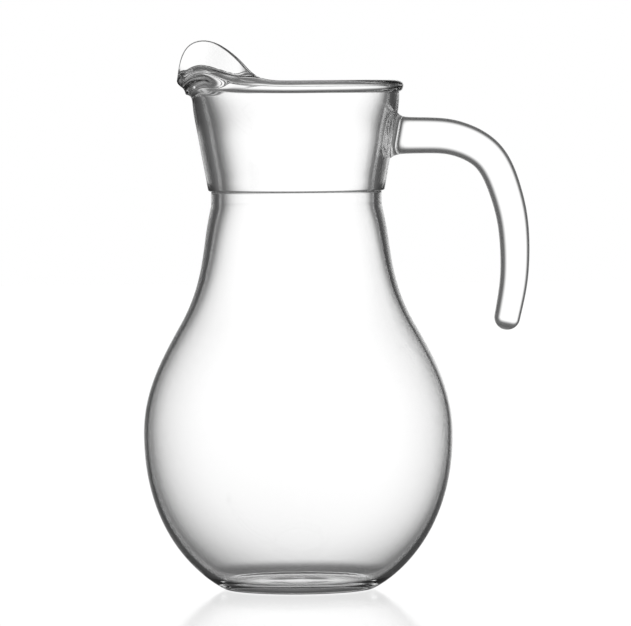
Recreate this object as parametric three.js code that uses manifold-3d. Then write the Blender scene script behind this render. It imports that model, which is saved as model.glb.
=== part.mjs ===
// Large clear glass water jug: a round bulb under a stepped collar, a poured-out spout with a
// pinched ice guard, and a separate open-ended handle fused onto the collar.
// Millimetres, +Z up. The origin is the centre of the flat base, the handle points to +X and
// the spout to -X.

import * as THREE from 'three';
import { mergeVertices } from 'three/addons/utils/BufferGeometryUtils.js';
import Module from 'manifold-3d';

// Driving dimensions.
const baseRadius = 33;          // flat ring and disc that the jug stands on
const baseThickness = 2.4;      // glass in the middle of the base
const bulgeRadius = 72.65;      // widest circle of the bulb
const bulgeHeight = 73;
const bulgeWall = 1.8;          // glass at the widest circle, the thinnest place
const waistRadius = 40.1;       // narrow band under the collar's step
const waistFoot = 180.8;
const waistWall = 3.6;
const stepHeight = 187;         // where the collar steps out over the waist
const collarFoot = 188.5;
const collarFootRadius = 41.65;
const collarSlope = 0.182;      // the collar is a cone that opens upwards
const collarBend = 221;         // and above this it curves until it stands upright
const collarUpright = 234;
const collarWall = 5.5;
const rimWall = 4.2;
const beadHeight = 236.5;       // middle of the rounded rim
const beadRise = 2.5;           // rim's top above its middle
const beadBulge = 1.95;         // how far the rim stands proud of the collar
const beadSpread = 3;           // height of the bead's round underside
const crownHeight = 228;        // above this the collar leans out towards the spout
const spoutHalfAngle = 84;      // degrees either side of the spout that the lip is reshaped
const spoutHeel = 5.8;          // glass gathered at the foot of the pinched spout
const spoutWall = 2.2;          // glass at the spout's own edge
const guardWall = 1.5;          // glass of the thin ice guard wings
const handleGap = 0.3;          // clearance between the handle's root and the collar
const columns = 60;             // facets round the vessel

const millimetres = (x, y, z = 0) => new THREE.Vector3(x, y, z);
const mix = THREE.MathUtils.lerp;
const smooth = (value) => THREE.MathUtils.smoothstep(value, 0, 1);

function coneRadius(z) {
  const reach = collarUpright - collarBend;
  const above = THREE.MathUtils.clamp(z - collarBend, 0, reach);
  const straight = collarFootRadius + collarSlope * (Math.min(z, collarUpright) - collarFoot);
  return straight - collarSlope * above ** 2 / (2 * reach);
}

const wallThickness = (z) => mix(collarWall, rimWall, smooth((z - 212) / (beadHeight - 212)));
const rimMiddle = coneRadius(beadHeight) - rimWall / 2;

// Middle line of the rim bead from one side of the spout to its tip, and the free edge of the
// ice guard above it. Heights are above the bead's level; the other side is the mirror image.
const beadHalf = [
  [-4.9, 46.4, 0], [-16, 43.8, 0.7], [-26.1, 38.2, 1.6], [-35.2, 28.5, 4.3], [-43, 18.5, 6.6],
  [-49.8, 10.5, 4.6], [-53, 0, 1],
];
const guardHalf = [
  [-4.9, 46.4, beadRise], [-17.5, 42.8, 4.3], [-25.8, 34.5, 11.7], [-34.2, 22.5, 18.7],
  [-42.6, 12.5, 21.6], [-52.2, 9.5, 16], [-55.6, 0, 2.8],
];

function mirroredCurve(half) {
  const near = half.map(([x, y, z]) => millimetres(x, y, beadHeight + z));
  const far = half.slice(0, -1).reverse().map(([x, y, z]) => millimetres(x, -y, beadHeight + z));
  return new THREE.CatmullRomCurve3([...near, ...far], false, 'catmullrom', 0.5);
}

const beadCurve = mirroredCurve(beadHalf);
const guardCurve = mirroredCurve(guardHalf);

// A point on the glass's middle surface in the crown. The angle psi is in degrees from the
// spout; climb is 0 at the bead and below it, and 1 at the free edge.
function crownMiddle(psi, z, climb) {
  const angle = THREE.MathUtils.degToRad(psi);
  const onCircle = (radius, height) => (
    millimetres(-radius * Math.cos(angle), radius * Math.sin(angle), height));
  const inSpout = Math.abs(psi) < spoutHalfAngle;
  const along = (spoutHalfAngle - psi) / (2 * spoutHalfAngle);
  const circle = onCircle(rimMiddle, beadHeight);
  const bead = inSpout ? beadCurve.getPoint(along) : circle;
  if (climb > 0) {
    const edge = inSpout ? guardCurve.getPoint(along) : onCircle(rimMiddle, beadHeight + beadRise);
    return bead.clone().lerp(edge, climb);
  }
  const lean = Math.max(0, (z - crownHeight) / (beadHeight - crownHeight)) ** 3;
  const plain = onCircle(coneRadius(z) - wallThickness(z) / 2, z);
  return plain.add(bead.clone().sub(circle).multiplyScalar(lean));
}

// Places one crown point on the outer (side 1) or inner (side -1) face of the glass.
function crownPoint(psi, { z, climb, side }) {
  const middle = crownMiddle(psi, z, climb);
  const step = 0.5;
  const around = crownMiddle(psi + step, z, climb).sub(crownMiddle(psi - step, z, climb));
  const upwards = climb > 0
    ? crownMiddle(psi, z, 1).sub(crownMiddle(psi, z, 0))
    : crownMiddle(psi, z + step, 0).sub(crownMiddle(psi, z - step, 0));
  const across = around.cross(upwards).normalize();
  if (across.x * middle.x + across.y * middle.y < 0) across.negate();
  const tilted = smooth((z - crownHeight) / (beadHeight - crownHeight));
  const angle = THREE.MathUtils.degToRad(psi);
  const level = millimetres(-Math.cos(angle), Math.sin(angle));
  const normal = level.lerp(across, tilted).normalize();

  const wingHeight = crownMiddle(psi, z, 1).distanceTo(crownMiddle(psi, beadHeight, 0));
  const wing = smooth((wingHeight - beadRise) / 9);
  const aside = Math.abs(psi);
  const pinch = smooth((56 - aside) / 26);
  const heel = smooth((46 - aside) / 18) * smooth((z - 231.5) / 3);
  const thick = mix(wallThickness(z), spoutHeel, heel);
  const wallHalf = mix(thick, spoutWall, pinch * smooth((z - 234) / 2.5)) / 2;
  const bulge = side > 0 ? beadBulge * (1 - 0.85 * pinch) : 0;
  if (climb === 0) {
    const below = Math.sqrt(Math.max(0, 1 - ((beadHeight - z) / beadSpread) ** 2));
    return middle.addScaledVector(normal, side * (wallHalf + bulge * below));
  }

  const offBead = climb * wingHeight;
  const reach = mix(wingHeight, 1.4 * beadRise, wing);
  const fade = Math.max(0, 1 - (offBead / reach) ** 2) ** mix(0.5, 1.5, wing);
  const rounded = (wallHalf + bulge) * fade;
  const fromEdge = Math.min(1, (1 - climb) * wingHeight / (guardWall / 2));
  const thin = wing * guardWall / 2 * Math.sqrt(1 - (1 - fromEdge) ** 2);
  return middle.addScaledVector(normal, side * Math.cbrt(rounded ** 3 + thin ** 3));
}

// The vessel is one closed outline turned round the axis. Each row below is a point of that
// outline; the crown's rows carry what crownPoint needs to reshape them round the spout.
function vesselRows() {
  const plain = (r, z) => ({ r, z });
  const curve = (steps, ...points) => {
    const line = new THREE.CubicBezierCurve(...points.map(([r, z]) => new THREE.Vector2(r, z)));
    return line.getPoints(steps).slice(1).map((point) => plain(point.x, point.y));
  };
  const crown = (side, heights, climbs) => [
    ...heights.map((z) => ({ r: coneRadius(z), z, climb: 0, side })),
    ...climbs.map((climb) => ({ r: rimMiddle, z: beadHeight, climb, side })),
  ];
  const collar = (wall, heights) => heights.map((z) => plain(coneRadius(z) - wall(z), z));
  const bulge = [bulgeRadius, bulgeHeight];
  const shoulder = [54.9, 124.9];
  const neck = [42.75, 167];
  const bulgeInside = [bulgeRadius - bulgeWall, bulgeHeight];
  const shoulderInside = [53.1, 124];
  const neckInside = [40.15, 166.5];
  const waistInside = [waistRadius - waistWall, waistFoot];

  const outside = [
    plain(0, 0),
    plain(baseRadius, 0),
    plain(36.3, 0.8),
    ...curve(9, [36.3, 0.8], [49.6, 7.9], [bulgeRadius, 29.6], bulge),
    ...curve(6, bulge, [bulgeRadius, 93.8], [64.1, 108.6], shoulder),
    ...curve(5, shoulder, [45.7, 141.2], [44.6, 154.2], neck),
    ...curve(3, neck, [41.9, 173], [40.9, 177], [waistRadius, waistFoot]),
    plain(waistRadius, stepHeight - 0.5),
    plain(collarFootRadius - 0.6, stepHeight + 0.3),
    plain(collarFootRadius, collarFoot),
    ...collar(() => 0, [205, 221, 224.5]),
    ...crown(1, [crownHeight, 231, 233, 234, 235], [0, 0.12, 0.3, 0.6, 0.88, 0.97]),
  ];
  const inside = [
    plain(0, baseThickness),
    ...curve(6, [12, baseThickness], [24, baseThickness], [35, 3.6], [42.8, 8.1]),
    ...curve(8, [42.8, 8.1], [53.6, 14.6], [bulgeInside[0], 36], bulgeInside),
    ...curve(5, bulgeInside, [bulgeInside[0], 93], [62, 108], shoulderInside),
    ...curve(4, shoulderInside, [43.6, 140.6], [42.1, 153.8], neckInside),
    ...curve(2, neckInside, [39.3, 172], [37.5, 176.5], waistInside),
    ...collar(wallThickness, [193, 210, 220]),
    ...crown(-1, [crownHeight, 231, 233, 234, 235], [0, 0.12, 0.3, 0.6, 0.88, 0.97, 1]),
  ];
  return [...outside, ...inside.reverse()];
}

function vesselGeometry() {
  const rows = vesselRows();
  const outline = rows.map(({ r, z }) => new THREE.Vector2(r, z));
  const geometry = new THREE.LatheGeometry(outline, columns);
  geometry.rotateX(Math.PI / 2);
  const position = geometry.getAttribute('position');
  for (let i = 0; i < position.count; i += 1) {
    const row = rows[i % rows.length];
    if (row.side === undefined) continue;
    const psi = Math.round(THREE.MathUtils.radToDeg(Math.atan2(position.getY(i), -position.getX(i))));
    const point = crownPoint(psi, row);
    position.setXYZ(i, point.x, point.y, point.z);
  }
  return geometry;
}

// The handle is a rounded bar that leaves the collar level, turns over and hangs free.
const handleRoute = [
  [40, 0, 212.8], [62, 0, 212.8], [76, 0, 211], [89.8, 0, 203], [97.7, 0, 187.5],
  [101.6, 0, 170], [102.1, 0, 150], [100.2, 0, 135.5], [97.2, 0, 121.3],
];
const handleSides = 20;
const handleSteps = 36;
const rootHalfDepth = 8.7;      // half the bar's depth, seen from the side, at the collar
const tipHalfDepth = 5.9;
const rootHalfWidth = 9;        // half its width, seen from above, at the collar
const tipHalfWidth = 6.5;
const rootFlare = 3;            // extra half depth and width where the hot glass spread
const backSquareness = 0.3;     // the bar's section is a superellipse, squarer on its outer face
const gripSquareness = 0.6;     // and rounder on the inner face that the fingers hold

function handleGeometry() {
  const route = new THREE.CatmullRomCurve3(handleRoute.map((point) => millimetres(...point)));
  const geometry = new THREE.CylinderGeometry(1, 1, 1, handleSides, handleSteps);
  const position = geometry.getAttribute('position');
  const length = route.getLength();
  // The rings along the bar lie closer together towards its rounded tip.
  for (let i = 0; i < position.count; i += 1) {
    const share = position.getY(i) + 0.5;
    const along = share * (1.6 - 0.6 * share);
    const middle = route.getPointAt(along);
    const tangent = route.getTangentAt(along);
    const normal = millimetres(-tangent.z, 0, tangent.x);
    const toRoot = Math.max(0, middle.x - coneRadius(213)) / 1.8;
    const toTip = (1 - along) * length / tipHalfDepth;
    const round = toTip < 1 ? Math.sqrt(1 - (1 - toTip) ** 2) : 1;
    const flare = rootFlare * Math.exp(-toRoot);
    const depth = (mix(rootHalfDepth, tipHalfDepth, along ** 1.4) + flare) * round;
    const width = (mix(rootHalfWidth, tipHalfWidth, along) + flare) * round;
    const up = position.getZ(i);
    const squareness = up > 0 ? backSquareness : gripSquareness;
    const across = Math.sign(position.getX(i)) * Math.abs(position.getX(i)) ** squareness;
    middle.addScaledVector(normal, Math.sign(up) * Math.abs(up) ** squareness * depth);
    position.setXYZ(i, middle.x, middle.y - across * width, middle.z);
  }
  return geometry;
}

// Cuts the handle's root back to the collar's cone so that the two pieces meet face to face.
const wasm = await Module();
wasm.setup();

function solid(geometry) {
  const bare = geometry.clone();
  bare.deleteAttribute('normal');
  bare.deleteAttribute('uv');
  const merged = mergeVertices(bare, 1e-3);
  const mesh = new wasm.Mesh({
    numProp: 3,
    vertProperties: Float32Array.from(merged.getAttribute('position').array),
    triVerts: Uint32Array.from(merged.getIndex().array),
  });
  return new wasm.Manifold(mesh);
}

function geometryOf(manifold) {
  const mesh = manifold.getMesh();
  const geometry = new THREE.BufferGeometry();
  geometry.setAttribute('position', new THREE.BufferAttribute(mesh.vertProperties, 3));
  geometry.setIndex(new THREE.BufferAttribute(mesh.triVerts, 1));
  geometry.computeVertexNormals();
  return geometry;
}

function collarSpace() {
  const low = 190;
  const high = 235;
  const wall = [low, collarBend, 225, 230, high].map((z) => (
    new THREE.Vector2(coneRadius(z) + handleGap, z)));
  const outline = [new THREE.Vector2(0, low), ...wall, new THREE.Vector2(0, high)];
  return new THREE.LatheGeometry(outline, 2 * columns).rotateX(Math.PI / 2);
}

const glass = (colour) => new THREE.MeshStandardMaterial({ color: colour, roughness: 0.03, metalness: 0 });

const vessel = new THREE.Mesh(vesselGeometry(), glass('#eef1f1'));
vessel.name = 'vessel';

const handle = new THREE.Mesh(
  geometryOf(solid(handleGeometry()).subtract(solid(collarSpace()))), glass('#e6eaea'));
handle.name = 'handle';

const group = new THREE.Group();
group.add(vessel, handle);

export default group;
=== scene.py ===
"""A large clear glass water jug: a blown vessel with a stepped collar and an ice guard, and a handle
of hot glass fused to the collar. Metres, +Z up, the handle towards +X and the spout towards -X."""

import math

import bpy
import numpy as np
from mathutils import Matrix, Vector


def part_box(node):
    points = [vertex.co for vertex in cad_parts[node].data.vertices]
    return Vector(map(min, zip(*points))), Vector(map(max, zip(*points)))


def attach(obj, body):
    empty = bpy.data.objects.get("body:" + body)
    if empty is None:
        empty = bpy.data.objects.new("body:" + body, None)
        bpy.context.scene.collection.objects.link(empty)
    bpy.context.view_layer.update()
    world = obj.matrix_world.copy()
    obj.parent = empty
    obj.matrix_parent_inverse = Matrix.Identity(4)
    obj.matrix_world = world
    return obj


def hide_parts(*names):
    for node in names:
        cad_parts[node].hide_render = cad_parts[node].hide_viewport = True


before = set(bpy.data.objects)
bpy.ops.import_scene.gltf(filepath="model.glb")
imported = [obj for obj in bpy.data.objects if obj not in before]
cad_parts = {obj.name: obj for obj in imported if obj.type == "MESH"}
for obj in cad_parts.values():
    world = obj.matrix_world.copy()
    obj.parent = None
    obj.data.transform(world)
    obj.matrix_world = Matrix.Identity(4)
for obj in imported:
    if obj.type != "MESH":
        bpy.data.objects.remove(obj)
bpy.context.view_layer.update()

# ---------------------------------------------------------------------------------------- vessel
# The vessel is one gather of clear soda-lime glass, blown in a mould: a flat base, a round bulb, a
# waist band and a conical collar. The rim is fire-polished to a bead, and on the spout's side it is
# pulled out into a lip and pinched up into the two thin wings of the ice guard.

vessel_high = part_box("vessel")[1]
base_radius = 0.033
base_thickness = 0.0024
bulge_radius = vessel_high[1]
bulge_height = 0.073
waist_radius = 0.0401
waist_foot = 0.1808
step_height = 0.187
collar_foot = 0.1885
collar_foot_radius = 0.04165
collar_slope = 0.182
collar_bend = 0.221
collar_upright = 0.234
collar_wall = 0.0055
wall_thins_from = 0.212
rim_wall = 0.0042
bead_height = 0.2365
bead_rise = 0.0025
bead_bulge = 0.00195
bead_spread = 0.003
crown_height = 0.228
spout_wall = 0.0022
spout_heel = 0.0058
guard_wall = 0.0015
wing_grows_over = 0.009


def cone_radius(z):
    """Outer radius of the collar: a straight cone up to its bend, above which the slope fades evenly
    to nothing, so that the collar stands upright under the rim."""
    reach = collar_upright - collar_bend
    above = np.clip(z - collar_bend, 0, reach)
    straight_up = collar_foot_radius + collar_slope * (np.minimum(z, collar_upright) - collar_foot)
    return straight_up - collar_slope * above**2 / (2 * reach)


def smooth(value):
    """The smoothstep curve: 0 below 0, 1 above 1, and 3v2 - 2v3 between."""
    value = np.clip(value, 0, 1)
    return value * value * (3 - 2 * value)


def mix(first, second, share):
    """Straight blend from first to second."""
    return first + (second - first) * share


def wall_thickness(z):
    """The collar's wall, which thins towards the rim."""
    thinned = smooth((z - wall_thins_from) / (bead_height - wall_thins_from))
    return mix(collar_wall, rim_wall, thinned)


rim_middle = cone_radius(bead_height) - rim_wall / 2

# The spout's two lines, as points every 14 degrees from 84 degrees beside the spout to its middle:
# the bead's middle line, and the free edge of the ice guard. Heights are above the bead's level.
spout_step = math.radians(14)
bead_half = np.array([
    (-0.0049, 0.0464, 0), (-0.016, 0.0438, 0.0007), (-0.0261, 0.0382, 0.0016),
    (-0.0352, 0.0285, 0.0043), (-0.043, 0.0185, 0.0066), (-0.0498, 0.0105, 0.0046),
    (-0.053, 0, 0.001),
])
guard_half = np.array([
    (-0.0049, 0.0464, bead_rise), (-0.0175, 0.0428, 0.0043), (-0.0258, 0.0345, 0.0117),
    (-0.0342, 0.0225, 0.0187), (-0.0426, 0.0125, 0.0215), (-0.0522, 0.0095, 0.016),
    (-0.0556, 0, 0.0028),
])


def spline(knots, place):
    """The natural cubic spline through equally spaced knots. place counts knots from 0, and the
    second derivatives solve the usual system with 4 on the diagonal and 1 beside it."""
    count = len(knots)
    system = 4 * np.eye(count) + np.eye(count, k=1) + np.eye(count, k=-1)
    system[0] = np.eye(count)[0]
    system[-1] = np.eye(count)[-1]
    bend = np.zeros_like(knots)
    bend[1:-1] = 6 * (knots[:-2] - 2 * knots[1:-1] + knots[2:])
    second = np.linalg.solve(system, bend)
    start = np.clip(np.floor(place).astype(int), 0, count - 2)
    share = (place - start)[..., None]
    rest = 1 - share
    line = rest * knots[start] + share * knots[start + 1]
    return line + ((rest**3 - rest) * second[start] + (share**3 - share) * second[start + 1]) / 6


def ring(psi, radius, z):
    """Points of a level circle, with psi measured round from the spout."""
    psi, radius, z = np.broadcast_arrays(psi, radius, z)
    return np.stack([-radius * np.cos(psi), radius * np.sin(psi), z], axis=-1)


def spout_shift(half, height):
    """Knots of how far a spout line stands from the plain rim circle, from 98 degrees on one side
    to 98 degrees on the other, with the second side the mirror image of the first."""
    angles = spout_step * np.arange(len(half) - 1, -1, -1)
    shift = half + [0, 0, bead_height] - ring(angles, rim_middle, height)
    shift = np.vstack([np.zeros(3), shift])
    return np.vstack([shift, shift[-2::-1] * [1, -1, 1]])


bead_knots = spout_shift(bead_half, bead_height)
guard_knots = spout_shift(guard_half, bead_height + bead_rise)


def crown_line(knots, psi, height):
    """The plain rim circle at a height, moved by the spline of its spout knots."""
    middle = (len(knots) - 1) / 2
    place = np.clip(middle - psi / spout_step, 0, len(knots) - 1)
    return ring(psi, rim_middle, height) + spline(knots, place)


def crown_middle(psi, z, climb):
    """The middle surface of the crown's glass. Below the bead it is the collar's cone, and it leans
    out to the bead's line with the cube of the height. Above, it is ruled from bead to free edge."""
    bead = crown_line(bead_knots, psi, bead_height)
    edge = crown_line(guard_knots, psi, bead_height + bead_rise)
    lean = np.clip((z - crown_height) / (bead_height - crown_height), 0, 1)[..., None] ** 3
    below = ring(psi, cone_radius(z) - wall_thickness(z) / 2, z)
    below = below + (bead - ring(psi, rim_middle, bead_height)) * lean
    return np.where(climb[..., None] > 0, mix(bead, edge, climb[..., None]), below)


def length(vectors):
    """Length of each vector."""
    return np.linalg.norm(vectors, axis=-1, keepdims=True)


def crown_surface(psi, z, climb, side):
    """The crown's outer (side 1) and inner (side -1) faces: the middle surface plus or minus half
    the wall along its normal. The bead stands proud as a round that fades up into the wings, which
    are as thin as the guard's wall. Within 56 degrees of the spout the glass is pinched: the bead
    flattens and the wall thins to the lip, over a thick heel within 46 degrees."""
    psi, z, climb, side = np.broadcast_arrays(psi, z, climb, side)
    level = np.full_like(z, bead_height)
    middle = crown_middle(psi, z, climb)
    step = 0.004
    around = crown_middle(psi + step, z, climb) - crown_middle(psi - step, z, climb)
    rise = 0.0003
    slope = crown_middle(psi, z, 0 * z) - crown_middle(psi, z - rise, 0 * z)
    guard = crown_middle(psi, level, 0 * z + 1) - crown_middle(psi, level, 0 * z)
    wing_height = length(guard)[..., 0]
    off_bead = np.where(climb > 0, climb * wing_height, bead_height - z)
    turn = smooth(climb * wing_height / 0.003)[..., None]
    upwards = mix(slope / length(slope), guard / length(guard), turn)
    normal = np.cross(upwards, around)
    normal = normal / length(normal)
    tilted = smooth((z - crown_height) / (bead_height - crown_height))[..., None]
    normal = mix(ring(psi, 1, 0), normal, tilted)
    normal = normal / length(normal)

    wing = smooth((wing_height - bead_rise) / wing_grows_over)
    aside = np.degrees(np.abs(psi))
    pinch = smooth((56 - aside) / 26)
    heel = smooth((46 - aside) / 18) * smooth((z - 0.2315) / 0.003)
    wall = mix(wall_thickness(z), spout_heel, heel)
    wall = mix(wall, spout_wall, pinch * smooth((z - 0.234) / 0.0025))
    proud = bead_bulge * (1 - 0.85 * pinch)
    below = np.sqrt(np.clip(1 - (off_bead / bead_spread) ** 2, 0, 1))
    face = wall / 2 + np.where(side > 0, proud * np.where(climb > 0, 1, below), 0)
    reach = mix(wing_height, 1.4 * bead_rise, wing)
    power = mix(0.5, 1.5, np.minimum(3 * wing, 1))
    rounded = face * np.clip(1 - (off_bead / reach) ** 2, 0, 1) ** power
    from_edge = (1 - climb) * wing_height / (guard_wall / 2)
    thin = guard_wall / 2 * np.sqrt(1 - np.clip(1 - from_edge, 0, 1) ** 2)
    joined = (rounded**3 + (wing * thin) ** 3) ** (1 / 3)
    out = np.where(climb > 0, joined, face)
    return middle + normal * (side * out)[..., None]


def bezier(steps, *corners):
    """Cubic Bezier curve: its four corners weighted by the cubic Bernstein polynomials. The first
    point is left out, so that curves can follow one another."""
    t = np.linspace(0, 1, steps + 1)[1:, None]
    a, b, c, d = (np.array(corner) for corner in corners)
    return (1 - t) ** 3 * a + 3 * (1 - t) ** 2 * t * b + 3 * (1 - t) * t**2 * c + t**3 * d


def straight(steps, start, end):
    """Points along a straight line, without its first point."""
    t = np.linspace(0, 1, steps + 1)[1:, None]
    return mix(np.array(start), np.array(end), t)


bulge = (bulge_radius, bulge_height)
shoulder = (0.0549, 0.1249)
neck = (0.04275, 0.167)
waist = (waist_radius, waist_foot)
step_foot = (waist_radius, step_height - 0.0006)
collar_start = (collar_foot_radius, collar_foot)
collar_heights = np.linspace(collar_foot, crown_height, 19)[1:]
outer_outline = np.vstack([
    straight(6, (0.004, 0), (base_radius, 0)),
    bezier(8, (base_radius, 0), (0.0343, 0), (0.0353, 0.0002), (0.0363, 0.0008)),
    bezier(44, (0.0363, 0.0008), (0.0496, 0.0079), (bulge_radius, 0.0296), bulge),
    bezier(30, bulge, (bulge_radius, 0.0938), (0.0641, 0.1086), shoulder),
    bezier(30, shoulder, (0.0457, 0.1412), (0.0446, 0.1542), neck),
    bezier(10, neck, (0.0419, 0.173), (0.0409, 0.177), waist),
    straight(5, waist, step_foot),
    bezier(5, step_foot, (waist_radius, step_height), (0.0404, 0.1872), (0.0409, 0.1873)),
    bezier(5, (0.0409, 0.1873), (0.0414, 0.1874), (0.0416, 0.1879), collar_start),
    np.stack([cone_radius(collar_heights), collar_heights], axis=-1),
])

# The glass is thickest in the base and the collar, and thinnest round the bulge, where it was blown
# furthest. Up to the waist the inner outline is the outer one moved in by the wall, over a floor
# that is a smooth bowl.
bulge_wall = 0.0018
more_at_base = 0.0009
more_at_waist = 0.0018


def body_wall(z):
    """The bulge's wall, and more with the square of the way down to the base or up to the waist."""
    down = np.clip(1 - z / bulge_height, 0, 1)
    up = np.clip((z - bulge_height) / (waist_foot - bulge_height), 0, 1)
    return bulge_wall + more_at_base * down**2 + more_at_waist * up**2


def moved_in(outline):
    """The outline moved along its inward normal by the wall at each height."""
    along = np.gradient(outline, axis=0)
    along = along / length(along)
    inward = np.stack([-along[:, 1], along[:, 0]], axis=-1)
    return outline + inward * body_wall(outline[:, 1])[:, None]


body = (outer_outline[:, 1] > 0.006) & (outer_outline[:, 1] < waist_foot + 0.0001)
wall_inside = moved_in(outer_outline[body])
floor_edge = wall_inside[0]
floor_lead = wall_inside[0] - wall_inside[1]
floor_lead = floor_lead / np.linalg.norm(floor_lead)
waist_inside = wall_inside[-1]
inside_heights = np.linspace(0.193, crown_height, 16)
collar_inside = np.stack(
    [cone_radius(inside_heights) - wall_thickness(inside_heights), inside_heights], axis=-1)
floor_bowl = bezier(24, (0.004, base_thickness), (0.016, base_thickness),
                    floor_edge + 0.014 * floor_lead, floor_edge)
under_collar = bezier(12, waist_inside, waist_inside + [0, 0.003],
                      collar_inside[0] - [0.0006, 0.004], collar_inside[0])
inner_outline = np.vstack([floor_bowl, wall_inside[1:], under_collar, collar_inside[1:]])

# Round the axis the columns lie closer together on the spout's side.
columns = 220
turn = np.linspace(-1, 1, columns, endpoint=False)
psi = math.pi * turn - 0.35 * np.sin(math.pi * turn)
crown_rows = 28
crown_heights = mix(bead_height, crown_height, np.linspace(1, 0, crown_rows + 1)[1:] ** 1.6)
climbs = 0.5 - 0.5 * np.cos(np.linspace(0, math.pi, 35)[1:])


def turned(outline):
    """The outline turned round the axis: one ring of points for each of its points."""
    return ring(psi[None, :], outline[:, 0:1], outline[:, 1:2])


def crown_faces(side):
    """One face of the crown as rings of points, from the collar up to the free edge."""
    z = np.concatenate([crown_heights, np.full(len(climbs), bead_height)])[:, None]
    climb = np.concatenate([np.zeros(crown_rows), climbs])[:, None]
    return crown_surface(psi[None, :], z, climb, np.full_like(z, side))


def closed_skin(name, rings, start, end):
    """A closed mesh object: quads between neighbouring rings of points, and a fan of triangles from
    the first and last ring to a pole point."""
    count, across = rings.shape[:2]
    points = np.vstack([rings.reshape(-1, 3), start, end])
    index = np.arange(count * across).reshape(count, across)
    after = np.roll(index, -1, axis=1)
    quads = np.stack([index[:-1], index[1:], after[1:], after[:-1]], axis=-1).reshape(-1, 4)
    first_pole, last_pole = count * across, count * across + 1
    first_fan = np.stack([np.full(across, first_pole), index[0], after[0]], axis=-1)
    last_fan = np.stack([np.full(across, last_pole), after[-1], index[-1]], axis=-1)
    corners = np.concatenate([quads.ravel(), first_fan.ravel(), last_fan.ravel()])
    sizes = np.concatenate([np.full(len(quads), 4), np.full(2 * across, 3)])
    mesh = bpy.data.meshes.new(name)
    mesh.vertices.add(len(points))
    mesh.vertices.foreach_set("co", points.ravel())
    mesh.loops.add(len(corners))
    mesh.loops.foreach_set("vertex_index", corners)
    mesh.polygons.add(len(sizes))
    mesh.polygons.foreach_set("loop_start", np.cumsum(sizes) - sizes)
    mesh.polygons.foreach_set("use_smooth", np.ones(len(sizes), dtype=bool))
    mesh.update(calc_edges=True)
    mesh.validate()
    piece = bpy.data.objects.new(name, mesh)
    bpy.context.scene.collection.objects.link(piece)
    return piece


outer_rings = np.concatenate([turned(outer_outline), crown_faces(1)])
inner_rings = np.concatenate([turned(inner_outline), crown_faces(-1)[:-1]])
vessel_rings = np.concatenate([outer_rings, inner_rings[::-1]])
vessel = closed_skin("blown_vessel", vessel_rings, [0, 0, 0], [0, 0, base_thickness])


def shader(name):
    """A new node material and its node tree."""
    material = bpy.data.materials.new(name)
    material.use_nodes = True
    material.node_tree.nodes.clear()
    return material, material.node_tree


def clear_glass(name, ripple_size, ripple_depth):
    """Fire-polished clear glass: full transmission at the index of soda-lime glass, with the slow
    ripple of blown glass and a faint orange peel from the mould as bump."""
    material, tree = shader(name)
    nodes, links = tree.nodes, tree.links
    place = nodes.new("ShaderNodeTexCoord")
    stretch = nodes.new("ShaderNodeMapping")
    stretch.inputs["Scale"].default_value = (1, 1, 0.45)
    links.new(place.outputs["Object"], stretch.inputs["Vector"])
    ripple = nodes.new("ShaderNodeTexNoise")
    ripple.inputs["Scale"].default_value = 1 / ripple_size
    ripple.inputs["Detail"].default_value = 1.0
    links.new(stretch.outputs["Vector"], ripple.inputs["Vector"])
    ripple_bump = nodes.new("ShaderNodeBump")
    ripple_bump.inputs["Strength"].default_value = 1.0
    ripple_bump.inputs["Distance"].default_value = ripple_depth
    links.new(ripple.outputs["Fac"], ripple_bump.inputs["Height"])
    peel = nodes.new("ShaderNodeTexNoise")
    peel.inputs["Scale"].default_value = 300
    peel.inputs["Detail"].default_value = 2.0
    links.new(place.outputs["Object"], peel.inputs["Vector"])
    peel_bump = nodes.new("ShaderNodeBump")
    peel_bump.inputs["Strength"].default_value = 1.0
    peel_bump.inputs["Distance"].default_value = 0.000004
    links.new(peel.outputs["Fac"], peel_bump.inputs["Height"])
    links.new(ripple_bump.outputs["Normal"], peel_bump.inputs["Normal"])
    glass = nodes.new("ShaderNodeBsdfPrincipled")
    glass.name = "glass"
    glass.inputs["Base Color"].default_value = (1, 1, 1, 1)
    glass.inputs["Transmission Weight"].default_value = 1.0
    glass.inputs["IOR"].default_value = 1.52
    glass.inputs["Roughness"].default_value = 0.0
    links.new(peel_bump.outputs["Normal"], glass.inputs["Normal"])
    result = nodes.new("ShaderNodeOutputMaterial")
    links.new(glass.outputs["BSDF"], result.inputs["Surface"])
    return material


vessel.data.materials.append(clear_glass("blown_clear_glass", 0.05, 0.00012))
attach(vessel, "root")
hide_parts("vessel")

# ---------------------------------------------------------------------------------------- handle
# The handle is a second gather of hot glass, drawn into a bar and pressed onto the collar, where it
# spreads into a small flare. Its section is squarer outside and rounder inside, for the fingers.
# The lower end hangs free and is rounded by its own surface tension.

handle_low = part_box("handle")[0]
handle_gap = 0.0003
handle_height = 0.2128
handle_route = np.array([
    (0.040, 0, handle_height), (0.062, 0, handle_height), (0.076, 0, 0.211), (0.0898, 0, 0.203),
    (0.0977, 0, 0.1875), (0.1016, 0, 0.170), (0.1021, 0, 0.150), (0.1002, 0, 0.1355),
    (0.0972, 0, handle_low[2]),
])
root_half_depth = 0.0087
tip_half_depth = 0.0059
root_half_width = 0.009
tip_half_width = 0.0065
root_flare = 0.002
flare_reach = 0.0018
back_squareness = 0.3
grip_squareness = 0.5
section_points = 96
# Painted shade at the fused joint: how far off the collar's cone it is full, where it ends, and how
# dark the glass's colour is made there.
joint_shade_full_reach = 0.0006
joint_shade_end_reach = 0.0019
joint_shade_level = 0.35


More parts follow.
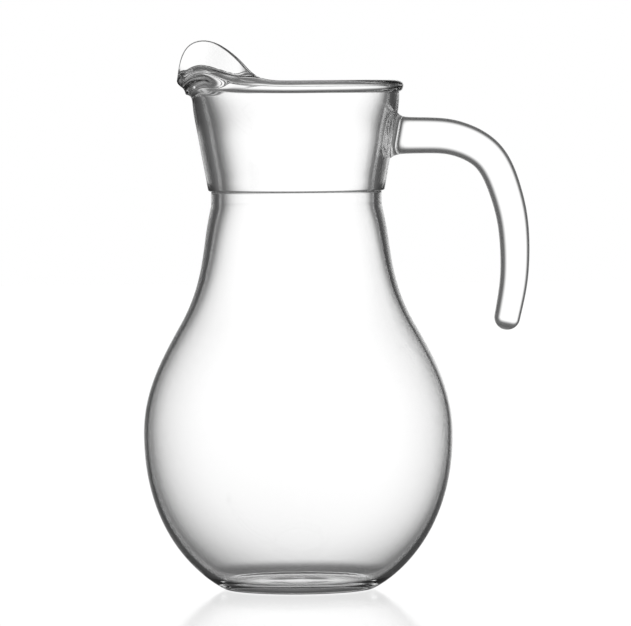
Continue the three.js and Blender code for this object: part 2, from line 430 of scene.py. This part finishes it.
def bar_section(points):
    """The bar's unit section as evenly spaced points: a superellipse, whose cosine and sine are
    raised to the back's power above its middle and to the grip's power below it."""
    angle = np.linspace(0, 2 * math.pi, 4001)
    power = np.where(np.sin(angle) > 0, back_squareness, grip_squareness)
    across = np.sign(np.cos(angle)) * np.abs(np.cos(angle)) ** power
    up = np.sign(np.sin(angle)) * np.abs(np.sin(angle)) ** power
    travelled = np.concatenate([[0], np.cumsum(np.hypot(np.diff(across), np.diff(up)))])
    even = np.linspace(0, travelled[-1], points, endpoint=False)
    return np.interp(even, travelled, across), np.interp(even, travelled, up)


def wall_reach(y, z):
    """Distance from the axis plane to the collar's cone, plus the gap, at a width and a height."""
    return np.sqrt((cone_radius(z) + handle_gap) ** 2 - y**2)


def handle_rings():
    """Rings of the bar: the section carried along the spline of its route and scaled from the root's
    size to the tip's. The first rings are pressed to the collar, and the tip closes as a dome."""
    fine = np.linspace(0, len(handle_route) - 1, 2001)
    route = spline(handle_route, fine)
    travelled = np.concatenate([[0], np.cumsum(length(np.diff(route, axis=0))[:, 0])])
    total = travelled[-1]
    root = np.interp(wall_reach(0, handle_height), route[:, 0], travelled)
    near = root + np.linspace(0, 1, 24)[:-1] ** 1.6 * 0.014
    body = np.linspace(root + 0.014, total - tip_half_depth, 110)[:-1]
    dome = total - tip_half_depth * (1 - np.sin(np.linspace(0, math.pi / 2, 18)[:-1]))
    along = np.concatenate([near, body, dome])
    middle = np.stack([np.interp(along, travelled, route[:, axis]) for axis in range(3)], axis=-1)
    tangent = np.stack(
        [np.interp(along, travelled, np.gradient(route[:, axis], travelled)) for axis in range(3)],
        axis=-1)
    tangent = tangent / length(tangent)
    to_tip = np.clip((total - along) / tip_half_depth, 0, 1)
    dome_scale = np.sqrt(1 - (1 - to_tip) ** 2)
    from_wall = along - root
    flare = root_flare * np.exp(-from_wall / flare_reach)
    share = along / total
    depth = (mix(root_half_depth, tip_half_depth, share**1.4) + flare) * dome_scale
    width = (mix(root_half_width, tip_half_width, share) + flare) * dome_scale
    across, up = bar_section(section_points)
    y = -width[:, None] * across
    lift = depth[:, None] * up
    x = middle[:, 0:1] - tangent[:, 2:3] * lift
    z = middle[:, 2:3] + tangent[:, 0:1] * lift
    pressed = (1 - smooth(from_wall / 0.012))[:, None]
    x = x + (wall_reach(y, z) - wall_reach(0, handle_height)) * pressed
    bar = np.stack([x, y, z], axis=-1)
    inwards = np.linspace(0, 1, 14)[1:-1, None]
    cap_y = bar[0, :, 1] * inwards
    cap_z = handle_height + (bar[0, :, 2] - handle_height) * inwards
    cap = np.stack([wall_reach(cap_y, cap_z), cap_y, cap_z], axis=-1)
    return np.concatenate([cap, bar]), route[-1]


rings, tip = handle_rings()
handle = closed_skin(
    "drawn_handle", rings, [wall_reach(0, handle_height), 0, handle_height], tip)


def paint_joint_shade(material):
    """Paints shade into the glass's colour where the two pieces fused, from the collar's cone to a
    little way out along the bar. This painted shade stands in for the light that the fillet of the
    joint bends away. The place off the cone is the radius less the cone's slope times the height."""
    nodes, links = material.node_tree.nodes, material.node_tree.links
    place = nodes.new("ShaderNodeTexCoord")
    parts = nodes.new("ShaderNodeSeparateXYZ")
    links.new(place.outputs["Object"], parts.inputs[0])
    flat = nodes.new("ShaderNodeVectorMath")
    flat.operation = "MULTIPLY"
    flat.inputs[1].default_value = (1, 1, 0)
    links.new(place.outputs["Object"], flat.inputs[0])
    radius = nodes.new("ShaderNodeVectorMath")
    radius.operation = "LENGTH"
    links.new(flat.outputs["Vector"], radius.inputs[0])
    off_cone = nodes.new("ShaderNodeMath")
    off_cone.operation = "MULTIPLY_ADD"
    off_cone.inputs[1].default_value = -collar_slope
    links.new(parts.outputs["Z"], off_cone.inputs[0])
    links.new(radius.outputs["Value"], off_cone.inputs[2])
    fade = nodes.new("ShaderNodeMapRange")
    wall_at = collar_foot_radius - collar_slope * collar_foot
    fade.inputs["From Min"].default_value = wall_at + joint_shade_full_reach
    fade.inputs["From Max"].default_value = wall_at + joint_shade_end_reach
    fade.inputs["To Min"].default_value = joint_shade_level
    fade.inputs["To Max"].default_value = 1
    links.new(off_cone.outputs["Value"], fade.inputs["Value"])
    links.new(fade.outputs["Result"], nodes["glass"].inputs["Base Color"])


# The handle's glass has painted shade in its colour where it meets the collar.
handle_glass = clear_glass("drawn_clear_glass", 0.03, 0.00010)
paint_joint_shade(handle_glass)
handle.data.materials.append(handle_glass)
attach(handle, "root")
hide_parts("handle")

# ----------------------------------------------------------------------------------------- table
# A plain glossy white table that glows softly, as a light table does, so that clear glass shows by
# its dark edges. It mirrors the jug faintly.

table_half = 4.0
table_mesh = bpy.data.meshes.new("table")
table_mesh.from_pydata(
    [(-table_half, -table_half, 0), (table_half, -table_half, 0),
     (table_half, table_half, 0), (-table_half, table_half, 0)], [], [(0, 1, 2, 3)])
table = bpy.data.objects.new("table", table_mesh)
table.location.z = -0.0002
bpy.context.scene.collection.objects.link(table)


def light_table():
    """White glow under a thin glossy coat."""
    material, tree = shader("light_table")
    nodes, links = tree.nodes, tree.links
    glow = nodes.new("ShaderNodeEmission")
    glow.inputs["Strength"].default_value = 0.74
    gloss = nodes.new("ShaderNodeBsdfGlossy")
    gloss.inputs["Roughness"].default_value = 0.1
    gloss.inputs["Color"].default_value = (0.28, 0.28, 0.28, 1)
    both = nodes.new("ShaderNodeAddShader")
    links.new(glow.outputs["Emission"], both.inputs[0])
    links.new(gloss.outputs["BSDF"], both.inputs[1])
    result = nodes.new("ShaderNodeOutputMaterial")
    links.new(both.outputs["Shader"], result.inputs["Surface"])
    return material


table_mesh.materials.append(light_table())
table.visible_transmission = False
table.visible_glossy = False

# ---------------------------------------------------------------------------------------- camera
# A long lens level with the rim, looking slightly down at the jug, which nearly fills the view.

camera_distance = 2.8
camera_height = 0.243
aim = np.array([0.0094, 0, 0.1297])
tilt = math.radians(0.45)
view_width = 0.29657
camera_data = bpy.data.cameras.new("camera")
camera_data.sensor_width = 36
offset = np.array([0, -camera_distance, camera_height - aim[2]])
camera_data.lens = camera_data.sensor_width * np.linalg.norm(offset) / view_width
camera_data.clip_end = 50
camera = bpy.data.objects.new("camera", camera_data)
camera.location = aim + offset
camera.rotation_euler = (math.atan2(camera_distance, camera_height - aim[2]), tilt, 0)
bpy.context.scene.collection.objects.link(camera)
bpy.context.scene.camera = camera

# ------------------------------------------------------------------------------------ light tent
# A round tent of cloth that turns with the camera. It is bright behind the jug and fades to dark at
# the sides, which draws the dark edges of clear glass, and a soft light comes from the camera's own
# side. The background that the camera sees past the jug is plain white.

tent_radius = 6.0
tent_turn = math.radians(2)
tent_lift = math.radians(4)


def tent_rings():
    """A sphere round the jug, in the camera's own axes."""
    polar = np.linspace(0, math.pi, 66)[1:-1, None]
    turn = np.linspace(0, 2 * math.pi, 96, endpoint=False)[None, :]
    x = tent_radius * np.sin(polar) * np.cos(turn)
    y = tent_radius * np.sin(polar) * np.sin(turn)
    z = tent_radius * np.cos(polar) + 0 * turn
    return np.stack([x, y, z], axis=-1)


tent = closed_skin("light_tent", tent_rings(), [0, 0, tent_radius], [0, 0, -tent_radius])
tent.parent = camera
tent.location = (0, 0, -np.linalg.norm(offset))
tent.rotation_euler = (tent_lift, -tent_turn, 0)
tent.visible_camera = False


def tent_cloth():
    """Glow that depends only on the angle from the middle of the bright side. Each stop is that
    angle, as a share of a half turn, and the glow there."""
    material, tree = shader("tent_cloth")
    nodes, links = tree.nodes, tree.links
    place = nodes.new("ShaderNodeTexCoord")
    direction = nodes.new("ShaderNodeVectorMath")
    direction.operation = "NORMALIZE"
    links.new(place.outputs["Object"], direction.inputs[0])
    parts = nodes.new("ShaderNodeSeparateXYZ")
    links.new(direction.outputs["Vector"], parts.inputs["Vector"])
    opposite = nodes.new("ShaderNodeMath")
    opposite.operation = "MULTIPLY"
    opposite.inputs[1].default_value = -1
    links.new(parts.outputs["Z"], opposite.inputs[0])
    angle = nodes.new("ShaderNodeMath")
    angle.operation = "ARCCOSINE"
    links.new(opposite.outputs["Value"], angle.inputs[0])
    share = nodes.new("ShaderNodeMath")
    share.operation = "DIVIDE"
    share.inputs[1].default_value = math.pi
    links.new(angle.outputs["Value"], share.inputs[0])
    fade = nodes.new("ShaderNodeValToRGB")
    fade.color_ramp.interpolation = "B_SPLINE"
    stops = [(0, 0.86), (0.033, 0.84), (0.05, 0.76), (0.066, 0.5), (0.085, 0.19), (0.11, 0.04),
             (0.25, 0.04), (0.45, 0.42), (0.6, 0.75)]
    while len(fade.color_ramp.elements) < len(stops):
        fade.color_ramp.elements.new(0.5)
    for element, (position, level) in zip(fade.color_ramp.elements, stops):
        element.position = position
        element.color = (level, level, level, 1)
    links.new(share.outputs["Value"], fade.inputs["Fac"])
    glow = nodes.new("ShaderNodeEmission")
    glow.inputs["Strength"].default_value = 1.28
    links.new(fade.outputs["Color"], glow.inputs["Color"])
    result = nodes.new("ShaderNodeOutputMaterial")
    links.new(glow.outputs["Emission"], result.inputs["Surface"])
    return material


tent.data.materials.append(tent_cloth())

world = bpy.data.worlds.new("white_room")
world.use_nodes = True
world.node_tree.nodes["Background"].inputs["Color"].default_value = (1, 1, 1, 1)
world.node_tree.nodes["Background"].inputs["Strength"].default_value = 1.0
bpy.context.scene.world = world

scene = bpy.context.scene
scene.view_settings.view_transform = "Standard"
scene.view_settings.look = "None"
scene.cycles.max_bounces = 32
scene.cycles.transmission_bounces = 32
scene.cycles.glossy_bounces = 12
scene.cycles.use_denoising = True
